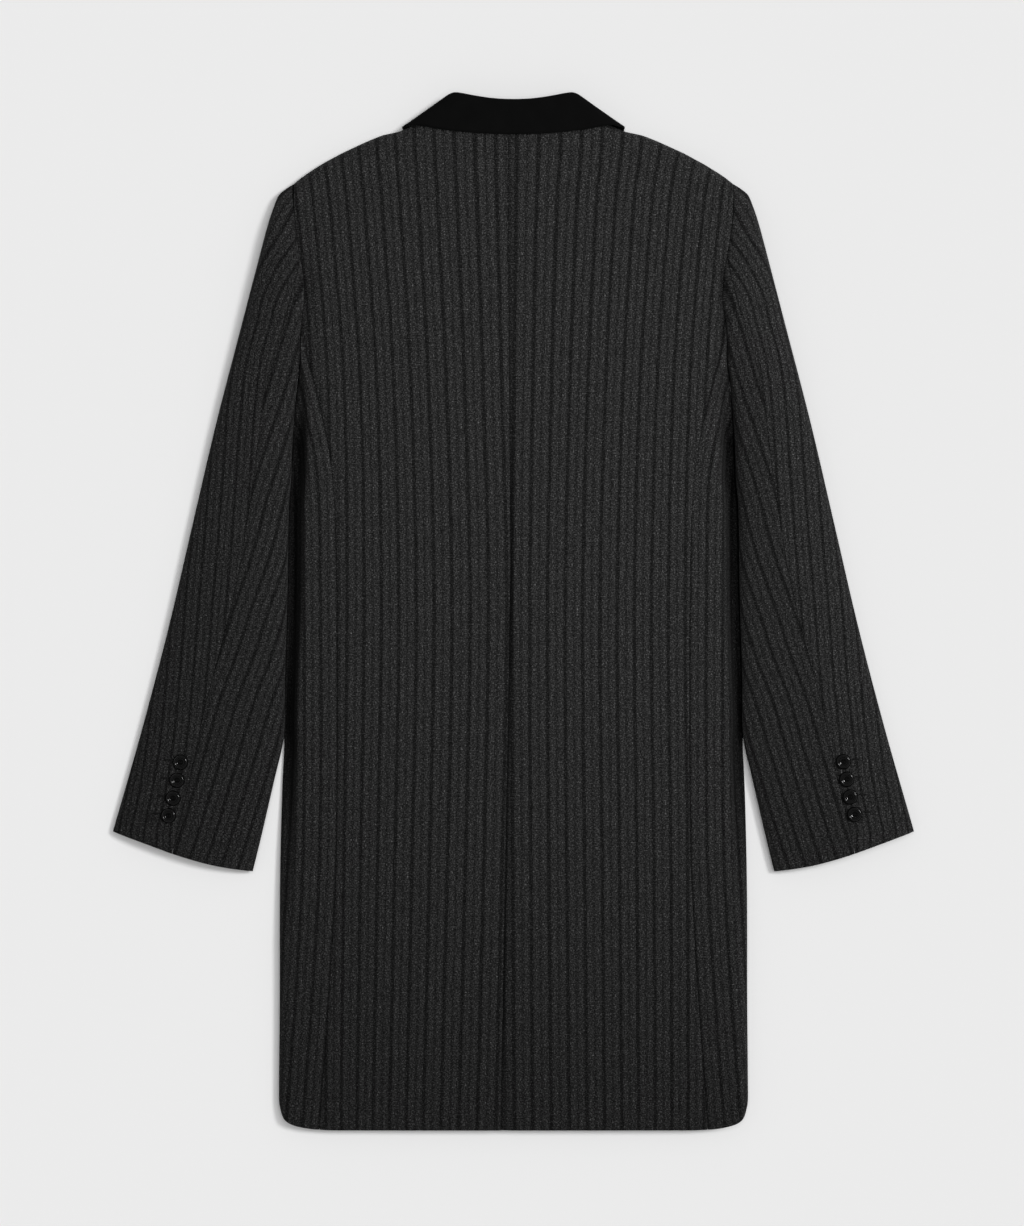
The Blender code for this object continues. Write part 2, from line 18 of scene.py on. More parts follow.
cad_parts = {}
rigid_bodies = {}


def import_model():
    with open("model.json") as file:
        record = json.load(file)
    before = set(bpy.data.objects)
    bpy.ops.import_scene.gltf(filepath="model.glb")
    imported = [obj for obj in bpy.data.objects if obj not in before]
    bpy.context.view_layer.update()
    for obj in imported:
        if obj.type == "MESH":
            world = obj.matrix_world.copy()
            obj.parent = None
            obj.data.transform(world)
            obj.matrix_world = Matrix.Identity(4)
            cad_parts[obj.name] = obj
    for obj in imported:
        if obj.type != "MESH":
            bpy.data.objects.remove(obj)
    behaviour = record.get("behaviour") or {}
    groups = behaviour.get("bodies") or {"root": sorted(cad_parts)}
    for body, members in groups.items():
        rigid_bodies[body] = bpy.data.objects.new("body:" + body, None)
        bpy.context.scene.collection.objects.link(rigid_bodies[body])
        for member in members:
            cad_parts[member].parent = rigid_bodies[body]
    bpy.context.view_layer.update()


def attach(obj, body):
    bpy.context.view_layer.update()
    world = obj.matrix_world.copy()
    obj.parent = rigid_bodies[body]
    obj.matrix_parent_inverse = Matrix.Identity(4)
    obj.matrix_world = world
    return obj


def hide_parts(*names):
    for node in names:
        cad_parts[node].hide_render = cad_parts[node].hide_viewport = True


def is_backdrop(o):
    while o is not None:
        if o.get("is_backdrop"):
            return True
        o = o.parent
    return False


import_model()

MM = 0.001
LENGTH = 1039.0  # top of the collar to the hem
CLOTH = 2.0  # wall of the coating
VELVET = 2.0  # wall of the collar
SEAM = 0.3  # gap between two pieces at a seam
TURNING = 4.0  # flat strip of the back beyond its shoulder fold
PLY = 2.6  # rise of a layer that lies on another one
LEFT, RIGHT = -1, 1


def curve(rows):
    """A smooth curve through the rows (key, value, ...), as a function of the key."""
    keys = [row[0] for row in rows]
    values = [row[1:] for row in rows]
    last = len(rows) - 1

    def slope(i, c):
        before, after = max(i - 1, 0), min(i + 1, last)
        return (values[after][c] - values[before][c]) / (keys[after] - keys[before])

    def at(key):
        key = min(max(key, keys[0]), keys[-1])
        i = min(max(bisect_right(keys, key) - 1, 0), last - 1)
        step = keys[i + 1] - keys[i]
        t = (key - keys[i]) / step
        out = []
        for c in range(len(values[0])):
            start, end = values[i][c], values[i + 1][c]
            rise = (start * (1 + 2 * t) * (1 - t) ** 2 + end * t * t * (3 - 2 * t)
                    + step * slope(i, c) * t * (1 - t) ** 2 - step * slope(i + 1, c) * t * t * (1 - t))
            out.append(rise)
        return out[0] if len(out) == 1 else tuple(out)

    return at


def broken_line(rows):
    """Straight runs between the rows (key, value), as a function of the key."""
    def at(key):
        key = min(max(key, rows[0][0]), rows[-1][0])
        for (k0, v0), (k1, v1) in zip(rows, rows[1:]):
            if key <= k1:
                return v0 + (v1 - v0) * (key - k0) / (k1 - k0)
        return rows[-1][1]

    return at


# Ends of the main seams: half and down
NECK_HALF = 88.0  # where the shoulder meets the neck
SHOULDER_HALF, SHOULDER_DOWN = 220.0, 90.8  # the shoulder's outer end
SIDE_TOP_BACK = 230.0  # down, top of the side panel at the back
FRONT_ARMHOLE_HALF, SIDE_TOP_FRONT = 203.0, 235.0  # the same at the front
UNDERARM_DOWN = 269.0
SLEEVE_SEAM_TOP, SLEEVE_SEAM_END, SEAM_BOW = 166.0, 762.0, 1.18  # back seam of the sleeve
SLEEVE_FOLD_END, FOLD_BOW = 780.0, 1.62  # its inner fold
FRONT_SEAM_END, FRONT_BOW = 774.0, 1.5  # its hidden front seam

# Body, plan curves: down, half
shoulder = curve((  # half, down
    (88, 27.5), (100, 33.4), (111, 38.1), (120, 40.2), (129, 42.2), (143.5, 47.8), (157, 53.8),
    (170, 59.8), (181.5, 65.7), (192.5, 71.7), (202, 77.7), (211, 83.6), (220, 90.8),
))
armhole_back = curve((
    (90.8, 220), (95, 220), (109, 219.8), (120, 219.5), (136, 218), (150, 216), (166, 213.3), (186, 210),
    (208, 209.4), (230, 212), (250, 213.2), (269, 213),
))
armhole_front = curve((
    (90.8, 220), (95, 220), (109, 219.5), (125, 215.5), (145, 209.5), (170, 203), (195, 199.2),
    (215, 199.5), (235, 203), (252, 208.5), (269, 213),
))
side_back_seam = curve((
    (230, 212), (268, 205), (298, 197), (344, 187), (390, 180.5), (468, 177), (608, 176), (752, 177),
    (826, 180), (929, 186.5), (981, 190.5), (1039, 194.5),
))
side_front_seam = curve((
    (235, 203), (268, 198), (330, 191), (400, 186), (500, 182), (650, 180), (800, 179), (1039, 177),
))
body_edge = curve((
    (269, 212.6), (289, 216.0), (347, 220.9), (387, 222.3), (414, 224.6), (493, 225.8), (583, 228.2),
    (644, 229.6), (700, 232.2), (798, 234.2), (908, 234.4), (1000, 235.2), (1012, 235), (1022, 233),
))
hem_down = curve((  # half, down
    (180, 1039), (195, 1038.4), (204, 1037.5), (212, 1036.2), (221, 1033.8), (227, 1030.8),
    (230.5, 1027.4), (233, 1022),
))
centre_seam = broken_line(((30, -5.5), (208, -4.5), (470, -2.9), (573, -4.5), (1039, -13)))  # down, x
front_edge = broken_line(((45.8, 88), (57, 71), (70, 56), (82, 41.6), (347, -25), (1037, -25)))

# Sleeve, plan curves
sleeve_outer = curve((  # share, half, down
    (0, 220, 90.8), (0.02, 228.6, 96.4), (0.04, 235.2, 102.4), (0.06, 239.4, 112), (0.1, 245.8, 131),
    (0.16, 256.2, 170), (0.25, 272.1, 231), (0.4, 298, 331), (0.55, 322.1, 434), (0.7, 346.4, 538),
    (0.85, 372.6, 638), (1, 401.7, 740),
))
sleeve_inner = curve((
    (269, 213), (289, 216.5), (347, 221.4), (387, 222.8), (414, 225.1), (493, 226.3), (583, 229),
    (644, 230.1), (688, 239.7), (708, 244.3), (748, 253.6), (780, 261.5),
))
sleeve_back_seam = curve((
    (166, 213.3), (200, 221), (235, 231), (269, 242), (308, 250), (360, 256.5), (418, 264.5), (470, 273),
    (520, 283.5), (570, 297), (620, 310), (683, 323.5), (762, 341.8),
))

# Hidden fronts: down, half
lapel_edge = broken_line(((73, 132), (140, 125), (195, 96), (262, 50), (315, 5), (343, -20)))
lifted_by_lapel = broken_line(((0, 118), (112, 134), (195, 98), (262, 52), (347, -25), (400, -60)))
LAPEL_MARGIN = 50.0  # how far beyond the lapel the front comes down to the floor
LAPEL_LIFT_END = 386.0
LAPEL_TOP = 82.0
LAPEL_SLANT = 34.0  # how far its upper edge slants down
LEFT_LAPEL_END, RIGHT_LAPEL_END = 338.0, 296.0
OVERLAP_HALF = 75.0  # reach of the two fronts' overlap, with its slope
OVERLAP_TOP, CROSSING_END = 190.0, 420.0
FRONT_SLANT = 63.3  # how much higher the front's neck edge starts than its shoulder end
FRONT_SLANT_END = 234.0
SHOULDER_BOW_END = 122.0

UNDER_FOLD = 24.0  # inner edge of the sleeve to its hidden front seam

# Heights of the upper layer: down or share, height
height_at_centre = curve(((0, 17), (95, 20), (220, 22), (420, 20), (650, 18), (900, 16.5), (1039, 15.5)))
sleeve_height_at = curve(((0, 22), (0.12, 24.5), (0.3, 23), (0.55, 21), (0.8, 18), (1, 16)))
CROWN = 0.10  # share of the height lost from the middle line to the side
SLEEVE_CROWN = 0.08
MIDDLE = 0.45  # share of the height at which a fold turns under
FOLD = 14.0  # width of the rounded fold
SLEEVE_FOLD = 11.0

# Hem and vent
HEM_CORNER = 17.0  # rise of the hem at the side folds
SIDE_HALF = 233.0  # half width of the body near the hem
HEM_CORNER_START = 0.91  # share of the side seam where the fold starts to follow it
CUFF_BOW, CUFF_BOW_HALF, CUFF_BOW_WIDTH = 2.6, 341.8, 80.3  # roundness of the cuff's inner part
VENT_TOP = 573.0
UNDERLAP = 40.0
VENT_RAMP = 14.0
VENT_STEP = 2.4  # how far the underlap lies below the other panel

# Back neck seam: down at the middle, and how much higher it is at the shoulders
NECK_DOWN, NECK_RISE = 30.3, 2.8

# Collar columns, from the middle of the back: plan points of the top fold, the lower edge and
# the neck seam, each as half, down
COLLAR = (
    # fold, edge, neck seam, layer
    ((0, 7), (0, 42.3), (0, 30), "top"),
    ((20, 6.1), (37, 41.2), (28, 29.7), "top"),
    ((40, 3.2), (74, 37.2), (54, 29.0), "top"),
    ((52, 0.9), (96, 33), (71.5, 27.9), "top"),
    ((59.4, 0), (104, 33.2), (79, 26.2), "over"),
    ((64, 1.1), (109.7, 33.7), (82.8, 25.2), "over"),
    ((65.2, 2.8), (111.6, 34.0), (83.2, 24.8), "edge"),
    ((65, 5.0), (111.1, 36.5), (83.6, 28.4), "under"),
    ((63, 10.4), (109.8, 42.4), (84.1, 34.5), "under"),
    ((57, 25), (106.8, 52), (80, 48.8), "bottom"),
    ((50, 50), (99, 72), (63, 62.2), "bottom"),
    ((44, 71), (92, 86), (52, 71.8), "bottom"),
)
FOLD_RADIUS = 2.7  # outer radius of the collar's top fold



def clamp(value):
    return min(1.0, max(0.0, value))


def mix(a, b, t):
    return a + (b - a) * t


def mix_points(a, b, t):
    return tuple(mix(p, q, t) for p, q in zip(a, b))


def fade(value, end):
    """1 at 0, easing to 0 at end."""
    return max(0.0, 1.0 - value / end) ** 2


def body_height(half, down):
    return height_at_centre(down) * (1 - CROWN * (half / SIDE_HALF) ** 2)


def neck_down(half):
    """The back neck seam: shallow, a little higher at the sides."""
    return NECK_DOWN - NECK_RISE * (half / NECK_HALF) ** 2


def place(side, point):
    half, down, z = point
    return Vector((side * half * MM, (LENGTH / 2 - down) * MM, z * MM))


def fold_height(top, bottom, degrees, layer, middle=MIDDLE, groove=0.0):
    """Height on a rounded fold: its edge is at 0 degrees and the flat layer at 90.

    A groove of 1 has the upper side drop steeply and run out low before the edge."""
    middle = mix(bottom, top, middle)
    end = top if layer == "top" else bottom
    rise = math.sin(math.radians(degrees))
    if groove:
        past = clamp((fold_share(degrees) - GROOVE_FLOOR) / (GROOVE_RIM - GROOVE_FLOOR))
        rise = mix(rise, past * past * (3 - 2 * past), groove)
    return mix(middle, end, rise)


def fold_share(degrees):
    """Share of the fold's width, from its edge, at an angle."""
    return 1 - math.cos(math.radians(degrees))


WALL, COLLAR_WALL = 1.4, 1.6  # thickness of the shells
GROOVE_FLOOR, GROOVE_RIM = 0.4, 0.95  # shares of the fold's width
SEAM_GAP = 0.12  # half the gap between two shells at a seam
PRESSED = 1.3  # depth to which a pressed seam is pulled in
PRESSED_WIDTH = 2.4
SEAM_START = 12.0  # length over which it starts below the shoulder
VENT_PRESS, VENT_EASE = 0.7, 10.0  # share of it at the vent's edge, length of its start
TURNED_IN, TURNED_IN_WIDTH = 0.8, 1.8  # the same for the turned edge of a hem
ROW_STEP = 6.0
HEM_ROWS = [1031, 1034, 1036.5, 1038, 1039]
QUARTER = (0.0, 9.0, 18.0, 28.0, 37.0, 46.0, 55.0, 60.0, 65.0, 70.0, 75.0, 81.0, 90.0)


def steps(start, end, step):
    """Even values from start to end, both with them."""
    count = max(1, round(abs(end - start) / step))
    return [start + (end - start) * i / count for i in range(count + 1)]


def pressed(distance):
    return PRESSED * math.exp(-(distance / PRESSED_WIDTH) ** 2)


def turned_in(distance):
    return TURNED_IN * math.exp(-(distance / TURNED_IN_WIDTH) ** 2)


# Stripes on the back: down, x of the first stripe beside the middle, spacing there and outwards
back_stripes = {
    LEFT: curve((
        (30, -39, 20.8, 17.8), (58, -38.5, 20.7, 17.5), (108, -36.5, 20.3, 16.8),
        (288, -30.5, 18.8, 16.0), (508, -25.1, 18.4, 16.9), (760, -29.5, 18.4, 16.6),
        (1030, -36.2, 18.7, 15.4),
    )),
    RIGHT: curve((
        (30, 25.6, 22.2, 18.4), (58, 25.1, 22.0, 18.0), (108, 23.2, 20.8, 17.2),
        (288, 19.4, 18.9, 16.3), (508, 16.3, 17.8, 16.8), (760, 17.2, 18.2, 16.8),
        (1030, 19.3, 18.6, 16.2),
    )),
}
BACK_REACH = 150.0  # where the outward spacing holds


def back_stripe(side, x, down):
    """Stripe number at a point of the back panel: whole numbers are the dark lines."""
    first, near, far = back_stripes[side](down)
    away = side * (x - first)
    bow = (1 / far - 1 / near) / (2 * BACK_REACH)
    return away / near + bow * away * abs(away)


def unrolled(row, split):
    """Plan points of a row as if its cloth lay flat, in the direction of its upper layer."""
    start, edge = row[0], row[split]
    reach = math.dist(edge[:2], start[:2])
    dh, dd = (edge[0] - start[0]) / reach, (edge[1] - start[1]) / reach
    out = []
    arc = 0.0
    for i, point in enumerate(row):
        if i:
            arc += math.dist(point, row[i - 1])
        out.append((start[0] + dh * arc, start[1] + dd * arc))
    return out


def new_mesh(name, points, faces, look=None):
    mesh = bpy.data.meshes.new(name)
    mesh.from_pydata(points, [], faces)
    mesh.shade_smooth()
    if look:
        mesh.materials.append(look)
    return mesh


def add_object(name, data):
    made = bpy.data.objects.new(name, data)
    bpy.context.scene.collection.objects.link(made)
    return made


def cloth_piece(name, rows, weave, stripe, side, keep=lambda r, c: True, painted_shade=None,
                slot="coating", wall=WALL):
    """A thin shell under rows of placed points, with the maps Stripes and Weave and a map of painted
    shade.

    It stands for the solid of its name."""
    across = len(rows[0])
    quads = []
    for r in range(len(rows) - 1):
        for c in range(across - 1):
            if keep(r, c):
                a, b = r * across + c, r * across + c + 1
                quad = (a, a + across, b + across, b)
                quads.append(quad if side == RIGHT else quad[::-1])
    used = sorted({i for quad in quads for i in quad})
    number = {old: new for new, old in enumerate(used)}
    points, weaves, stripes = (list(chain(*grid)) for grid in (rows, weave, stripe))
    # Painted shade of each point, 0 where none is painted
    painted_shade_values = [(value, 0) for value in chain(*painted_shade)] if painted_shade else [(0, 0)] * len(points)
    mesh = new_mesh(name, [points[i] for i in used], [[number[i] for i in quad] for quad in quads],
                    looks[slot])
    for layer, values in (("Stripes", stripes), ("Weave", weaves), ("PaintedShade", painted_shade_values)):
        uv = mesh.uv_layers.new(name=layer)
        for loop in mesh.loops:
            uv.data[loop.index].uv = values[used[loop.vertex_index]]
    made = cloth[name] = add_object(f"cloth_{name}", mesh)
    solid = made.modifiers.new("wall", "SOLIDIFY")
    solid.thickness = wall * MM
    solid.offset = -1
    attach(made, "root")
    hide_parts(name)


cloth = {}  # the cloth pieces, by the names of their solids
looks = {}  # the materials made here, by name


# Soft creases and hollows: x, down, half length, half width, lean in degrees, height
RELIEF = (
    (-206, 208, 48, 7, 2, -2.6),
    (206, 208, 48, 6, -2, -2.2),
)


def relief(x, down):
    """Height of the soft creases at a plan point."""
    total = 0.0
    for at_x, at_down, length, width, lean, height in RELIEF:
        dx, dy = x - at_x, down - at_down
        c, s = math.cos(math.radians(lean)), math.sin(math.radians(lean))
        along, across = dy * c + dx * s, dx * c - dy * s
        total += height * math.exp(-(along / length) ** 2 - (across / width) ** 2)
    return total


def under_rise(half, down, side):
    on_lapel = half < lifted_by_lapel(down) + LAPEL_MARGIN and down < LAPEL_LIFT_END
    over_lapel = PLY if on_lapel else 0.0
    if side == LEFT:
        return over_lapel
    if half < OVERLAP_HALF and down > OVERLAP_TOP:
        return 2 * PLY if down < CROSSING_END else PLY
    return over_lapel


# Painted shade beside the centre seam, by column from the seam
SEAM_SHADE = {LEFT: (0.8, 0.4, 0.1), RIGHT: (1, 1, 1, 0.6, 0.2, 0.05)}
# How strong that painted shade is down the seam
seam_shade = broken_line(((0, 0.45), (300, 0.5), (480, 0.85), (560, 1), (900, 1), (1040, 0.7)))

# Painted shade beside the armhole, by column, and how it changes down the armhole
ARMHOLE_SHADE = {LEFT: (0.2, 0.3, 0.35, 0.4, 0.45, 0.5), RIGHT: (0, 0, 0.25, 0.55, 0.9, 1)}
armhole_shade = broken_line(((90, 0.1), (165, 0.15), (185, 0.7), (235, 1), (262, 0.4), (300, 0),
                             (1040, 0)))


def back_piece(side, word):
    halves = [0, 0.6, 1.4, 2.6, 4.4] + steps(8, 212, 5.2) + [215, 217, 218.4, 219.3, 220]
    start = [neck_down(h) if h < NECK_HALF else shoulder(h) for h in halves]
    neck = sum(h < NECK_HALF for h in halves)
    grid = []
    under = [(90, FOLD + TURNING)] + [(d, FOLD * fold_share(d)) for d in QUARTER[:0:-1]]
    for degrees, in_from_edge in under:
        row = []
        for half, top in zip(halves, start):
            z = fold_height(body_height(half, top), under_rise(half, top, side), degrees, "bottom")
            down = top + in_from_edge
            half = min(half, armhole_front(down) - SEAM_GAP)
            flat_down = (top - 10 - in_from_edge) * MM
            row.append((place(side, (half, down, z)), (side * half * MM, flat_down),
                        (back_stripe(side, side * half, top), flat_down)))
        grid.append(row)
    folds = [SHOULDER_DOWN + FOLD * fold_share(degrees) for degrees in QUARTER]
    for r, side_down in enumerate(folds + steps(113, 1026, ROW_STEP) + HEM_ROWS):
        share = (side_down - SHOULDER_DOWN) / (LENGTH - SHOULDER_DOWN)
        outer = (armhole_back if side_down < SIDE_TOP_BACK else side_back_seam)(side_down)
        row = []
        for half, down in zip(halves, start):
            across = half / SHOULDER_HALF
            fallen = down + (hem_down(outer * across) - down) * share
            if r < len(folds) and half >= NECK_HALF:
                fallen = down + FOLD * fold_share(QUARTER[r])
            gap = SEAM_GAP if fallen < VENT_TOP else 0.0
            middle = side * centre_seam(fallen) + gap
            x = mix(middle, outer - SEAM_GAP, across)
            z = body_height(x, fallen) + relief(side * x, fallen)
            if r < len(folds) and half >= NECK_HALF:
                z = fold_height(z, 0, QUARTER[r], "top")
            z -= pressed(outer - x) * (1 - math.exp(-(fallen - down) / SEAM_START))
            if fallen < VENT_TOP:
                z -= pressed(x - middle)
            elif side == LEFT:
                z -= VENT_PRESS * pressed(x - middle)
            else:
                eased = min(1.0, (fallen - VENT_TOP) / VENT_EASE)
                ramp = max(0.0, 1 - (x - middle) / VENT_RAMP)
                z -= mix(pressed(x - middle), VENT_STEP * ramp, eased)
            z -= turned_in(LENGTH - side_down)
            row.append((place(side, (x, fallen, z)), (side * x * MM, fallen * MM),
                        (back_stripe(side, side * x, fallen), fallen * MM)))
        grid.append(row)
    rows, weave, stripe = ([[entry[i] for entry in row] for row in grid] for i in range(3))
    shade, outer_shade = SEAM_SHADE[side], ARMHOLE_SHADE[side]
    plain = [0.0] * (len(halves) - len(shade) - len(outer_shade))
    # Painted shade beside the centre seam and the armhole, for each row
    painted_shade = []
    for row in rows:
        down = LENGTH / 2 - row[-1].y / MM
        painted_shade.append([*[value * seam_shade(down) for value in shade], *plain,
                     *[value * armhole_shade(down) for value in outer_shade]])
    wrap = len(QUARTER)
    if side == LEFT:
        cloth_piece(f"back_{word}", rows, weave, stripe, side,
                    lambda r, c: r >= wrap or c >= neck, painted_shade)
        return
    laps = [UNDERLAP * i / 6 for i in range(6, 0, -1)]
    first = None
    for r, row in enumerate(rows):
        down = LENGTH / 2 - row[0].y / MM
        if first is None and r > wrap and down > VENT_TOP + 3:
            first = r
        x0, flat_down = row[0].x, weave[r][0][1]
        rows[r] = [Vector((x0 - lap * MM, row[0].y, row[0].z)) for lap in laps] + row
        weave[r] = [(x0 - lap * MM, flat_down) for lap in laps] + weave[r]
        more = [(back_stripe(side, x0 / MM - lap, down), flat_down) for lap in laps]
        stripe[r] = more + stripe[r]
    lap = len(laps)
    # The underlap carries the painted shade of the seam's first column
    cloth_piece(f"back_{word}", rows, weave, stripe, side,
                lambda r, c: r >= first if c < lap else r >= wrap or c >= neck + lap,
                [[shade[0]] * lap + row for row in painted_shade])


def folded_row(start, edge, end, shares, folds, tops, middle=MIDDLE, groove=0.0):
    """Plan points and heights of a row: its upper layer, round its edge, its layer on the floor."""
    row = []
    upper, lower = shares
    reach = math.dist(start, edge)
    width = min(folds[0], 0.75 * reach)
    flat = 1 - width / reach
    for share in upper:
        half, down = mix_points(start, edge, share * flat)
        row.append((half, down, mix(tops[0], tops[1], share)))
    for degrees in QUARTER[-2::-1]:
        half, down = mix_points(edge, start, fold_share(degrees) * width / reach)
        row.append((half, down, fold_height(tops[1], 0, degrees, "top", middle, groove)))
    reach = math.dist(edge, end)
    width = min(folds[1], 0.75 * reach)
    flat = 1 - width / reach
    for degrees in QUARTER[1:]:
        half, down = mix_points(edge, end, fold_share(degrees) * width / reach)
        row.append((half, down, fold_height(tops[1], 0, degrees, "bottom", middle)))
    for share in lower[1:]:
        half, down = mix_points(end, edge, (1 - share) * flat)
        row.append((half, down, 0.0))
    return row


def bend(row, corrections, amount):
    return [(half + dh * amount, down, z) for (half, down, z), dh in zip(row, corrections)]


def armhole_corrections(row, split, sign):
    out = []
    for i, (half, down, _) in enumerate(row):
        line = armhole_back if i <= split else armhole_front
        out.append(line(down) + sign * SEAM_GAP - half)
    return out


def seam_shares(inner_step):
    """Shares of a row's upper layer: close together beside the seam, then even."""
    return [0, 0.012, 0.03, 0.055, 0.09] + steps(0.14, 1, inner_step)


def dress(rows, side, split, grain, sink, roundness=0.0):
    """Adds pressed seams, creases and roundness to plan rows; gives placed rows and their maps."""
    placed, weave, stripe = [], [], []
    for r, row in enumerate(rows):
        flat = unrolled(row, split)
        reach = math.dist(row[0][:2], row[split][:2])
        top, edge = row[0][2], row[split][2]
        line = []
        for c, (half, down, z) in enumerate(row):
            if c <= split:
                near = math.dist(row[0][:2], (half, down))
                on_top = min(1.0, (z - edge) / (top - edge))
                z -= sink(r, c, near)
                z += (relief(side * half, down) - roundness * (near / reach) ** 4) * on_top
            line.append(place(side, (half, down, max(z, 0.0))))
        placed.append(line)
        weave.append([(side * half * MM, down * MM) for half, down in flat])
        stripe.append([(grain(half, down), down * MM) for half, down in flat])
    return placed, weave, stripe


# Where the body rolls down deeply beside the sleeve, and how strong the painted shade there is: down,
# share
beside_sleeve = broken_line((
    (248, 0), (285, 0.2), (322, 0.5), (350, 1), (640, 1), (700, 0.85), (760, 0.4), (850, 0.0), (1040, 0),
))
roll_width = broken_line((
    (245, FOLD), (330, 18), (380, 20), (520, 19), (620, 15.5), (680, 17), (760, 18), (850, FOLD),
    (1040, FOLD),
))
# Painted shade there, by distance from the fold's edge
fold_painted_shade = broken_line(((0, 1), (9.5, 1), (13, 0.6), (17, 0), (1000, 0)))
tucked = broken_line(((290, 0), (330, 1), (635, 1), (655, 0)))
ROLL_MIDDLE = 0.13
TUCKED = 1.3  # how far the body's edge goes under the sleeve's fold there
SIDE_SPACING = 16.6
SIDE_PARALLEL_END, SIDE_VERTICAL_START = 330.0, 470.0  # where its stripes leave the seam


def side_stripe(half, down):
    seam = side_back_seam(min(max(down, SIDE_TOP_BACK), LENGTH))
    span = SIDE_VERTICAL_START - SIDE_PARALLEL_END
    upright = clamp((down - SIDE_PARALLEL_END) / span)
    line = mix(seam, side_back_seam(max(down, SIDE_VERTICAL_START)), upright)
    return (half - line) / SIDE_SPACING


def side_piece(side, word):
    shares = (seam_shares(0.1), steps(0, 1, 0.12))
    split = len(shares[0]) + len(QUARTER) - 2
    rows = []
    fix = None
    for seam_down in steps(SIDE_TOP_BACK, 1026, ROW_STEP) + HEM_ROWS:
        along = (seam_down - SIDE_TOP_BACK) / (LENGTH - SIDE_TOP_BACK)
        start = (side_back_seam(seam_down) + SEAM_GAP, seam_down)
        corner = max(0.0, (along - HEM_CORNER_START) / (1 - HEM_CORNER_START)) ** 2
        to_underarm = UNDERARM_DOWN - SIDE_TOP_BACK
        edge_down = seam_down + to_underarm * fade(along, 0.2) - HEM_CORNER * corner
        edge = (body_edge(edge_down) + TUCKED * tucked(edge_down), edge_down)
        to_front = SIDE_TOP_FRONT - SIDE_TOP_BACK
        end_down = seam_down + to_front * fade(along, 0.2) - 2 * along
        end = (side_front_seam(end_down) + SEAM_GAP, end_down)
        tops = (body_height(*start), body_height(*edge))
        beside = beside_sleeve(edge_down)
        row = folded_row(start, edge, end, shares, (roll_width(edge_down), FOLD), tops,
                         mix(MIDDLE, ROLL_MIDDLE, beside), beside)
        if fix is None:
            fix = armhole_corrections(row, split, -1)
        rows.append((bend(row, fix, fade(along, 0.12)), corner))
    rounding = [hem_down(half) - down for half, down, _ in rows[-1][0]]
    rows = [[(half, down + lift * corner, z) for (half, down, z), lift in zip(row, rounding)]
            for row, corner in rows]
    last = len(rows) - 1

    def sink(r, c, near):
        to_hem = rows[last][c][1] - rows[r][c][1]
        to_armhole = math.dist(rows[0][c], rows[r][c])
        return pressed(near) + turned_in(to_hem) + pressed(to_armhole)

    placed, weave, stripe = dress(rows, side, split, side_stripe, sink)
    # Painted shade in the deep fold beside the sleeve
    painted_shade = [[fold_painted_shade(math.dist(point[:2], row[split][:2])) * beside_sleeve(row[split][1])
             for point in row] for row in rows]
    cloth_piece(f"side_{word}", placed, weave, stripe, side, painted_shade=painted_shade)


def sleeve_lines(share):
    outer = sleeve_outer(share)
    seam_down = mix(SLEEVE_SEAM_TOP, SLEEVE_SEAM_END, share ** SEAM_BOW)
    inner_down = mix(UNDERARM_DOWN, SLEEVE_FOLD_END, share ** FOLD_BOW)
    front_down = mix(SIDE_TOP_FRONT, FRONT_SEAM_END, share ** FRONT_BOW)
    seam = (sleeve_back_seam(seam_down), seam_down)
    inner = (sleeve_inner(inner_down), inner_down)
    away = UNDER_FOLD * min(1.0, share / 0.25)
    inside = sleeve_inner(max(front_down, UNDERARM_DOWN)) + away
    front = (mix(FRONT_ARMHOLE_HALF, inside, min(1.0, share / 0.12)), front_down)
    return outer, seam, inner, front


def bowed(row, share):
    """Rounds the rows near the cuff."""
    out = []
    for half, down, z in row:
        across = clamp((CUFF_BOW_HALF - half) / CUFF_BOW_WIDTH)
        out.append((half, down + CUFF_BOW * math.sin(math.pi * across) * share ** 6, z))
    return out


def sleeve_tops(share, seam, inner, outer):
    crown = sleeve_height_at(share)
    width = math.dist(seam, inner) + math.dist(seam, outer)
    across = math.dist(seam, inner) / width
    loss = SLEEVE_CROWN * min(1.0, share / 0.15)
    at_seam = crown * (1 - loss * (2 * across - 1) ** 2)
    ends = crown * (1 - loss)
    blend = fade(share, 0.12)
    at_seam = mix(at_seam, body_height(*seam), blend)
    return at_seam, mix(ends, body_height(*outer), blend), mix(ends, body_height(*inner), blend)


# Course of the stripes on the sleeves: down, half of one stripe, spacing
top_grain = curve((
    (91, 143, 27), (118, 167, 26), (140, 188, 22), (164, 209.5, 19), (182, 222.5, 17.2),
    (208, 236.5, 14.6), (232, 242.5, 13.8), (260, 250.5, 13.8), (288, 255.5, 13.8), (318, 258.5, 13.8),
    (388, 263.5, 13.8), (448, 267.8, 13.8), (508, 273, 13.8), (560, 277.5, 13.6), (620, 283.5, 13.4),
    (680, 292, 13.2), (740, 305, 13),
))
under_grain = curve((
    (170, 155, 17.4), (240, 176, 17.4), (300, 194, 17.4), (345, 209, 17.4), (385, 222, 17.4),
    (410, 229.5, 17.4), (450, 239.5, 17.6), (487, 251.5, 17.6), (521, 263.5, 17.6), (569, 279, 17.6),
    (606, 293, 17.4), (662, 309, 17.2), (740, 332, 17), (800, 352, 17),
))
# Painted shade on each sleeve: how much darker its top and under piece are made
SLEEVE_PAINTED_SHADE = {LEFT: (0.13, 0.14), RIGHT: (0.05, 0.2)}
SLEEVE_ROUNDNESS = 5.5  # how much lower a sleeve lies beside its folds


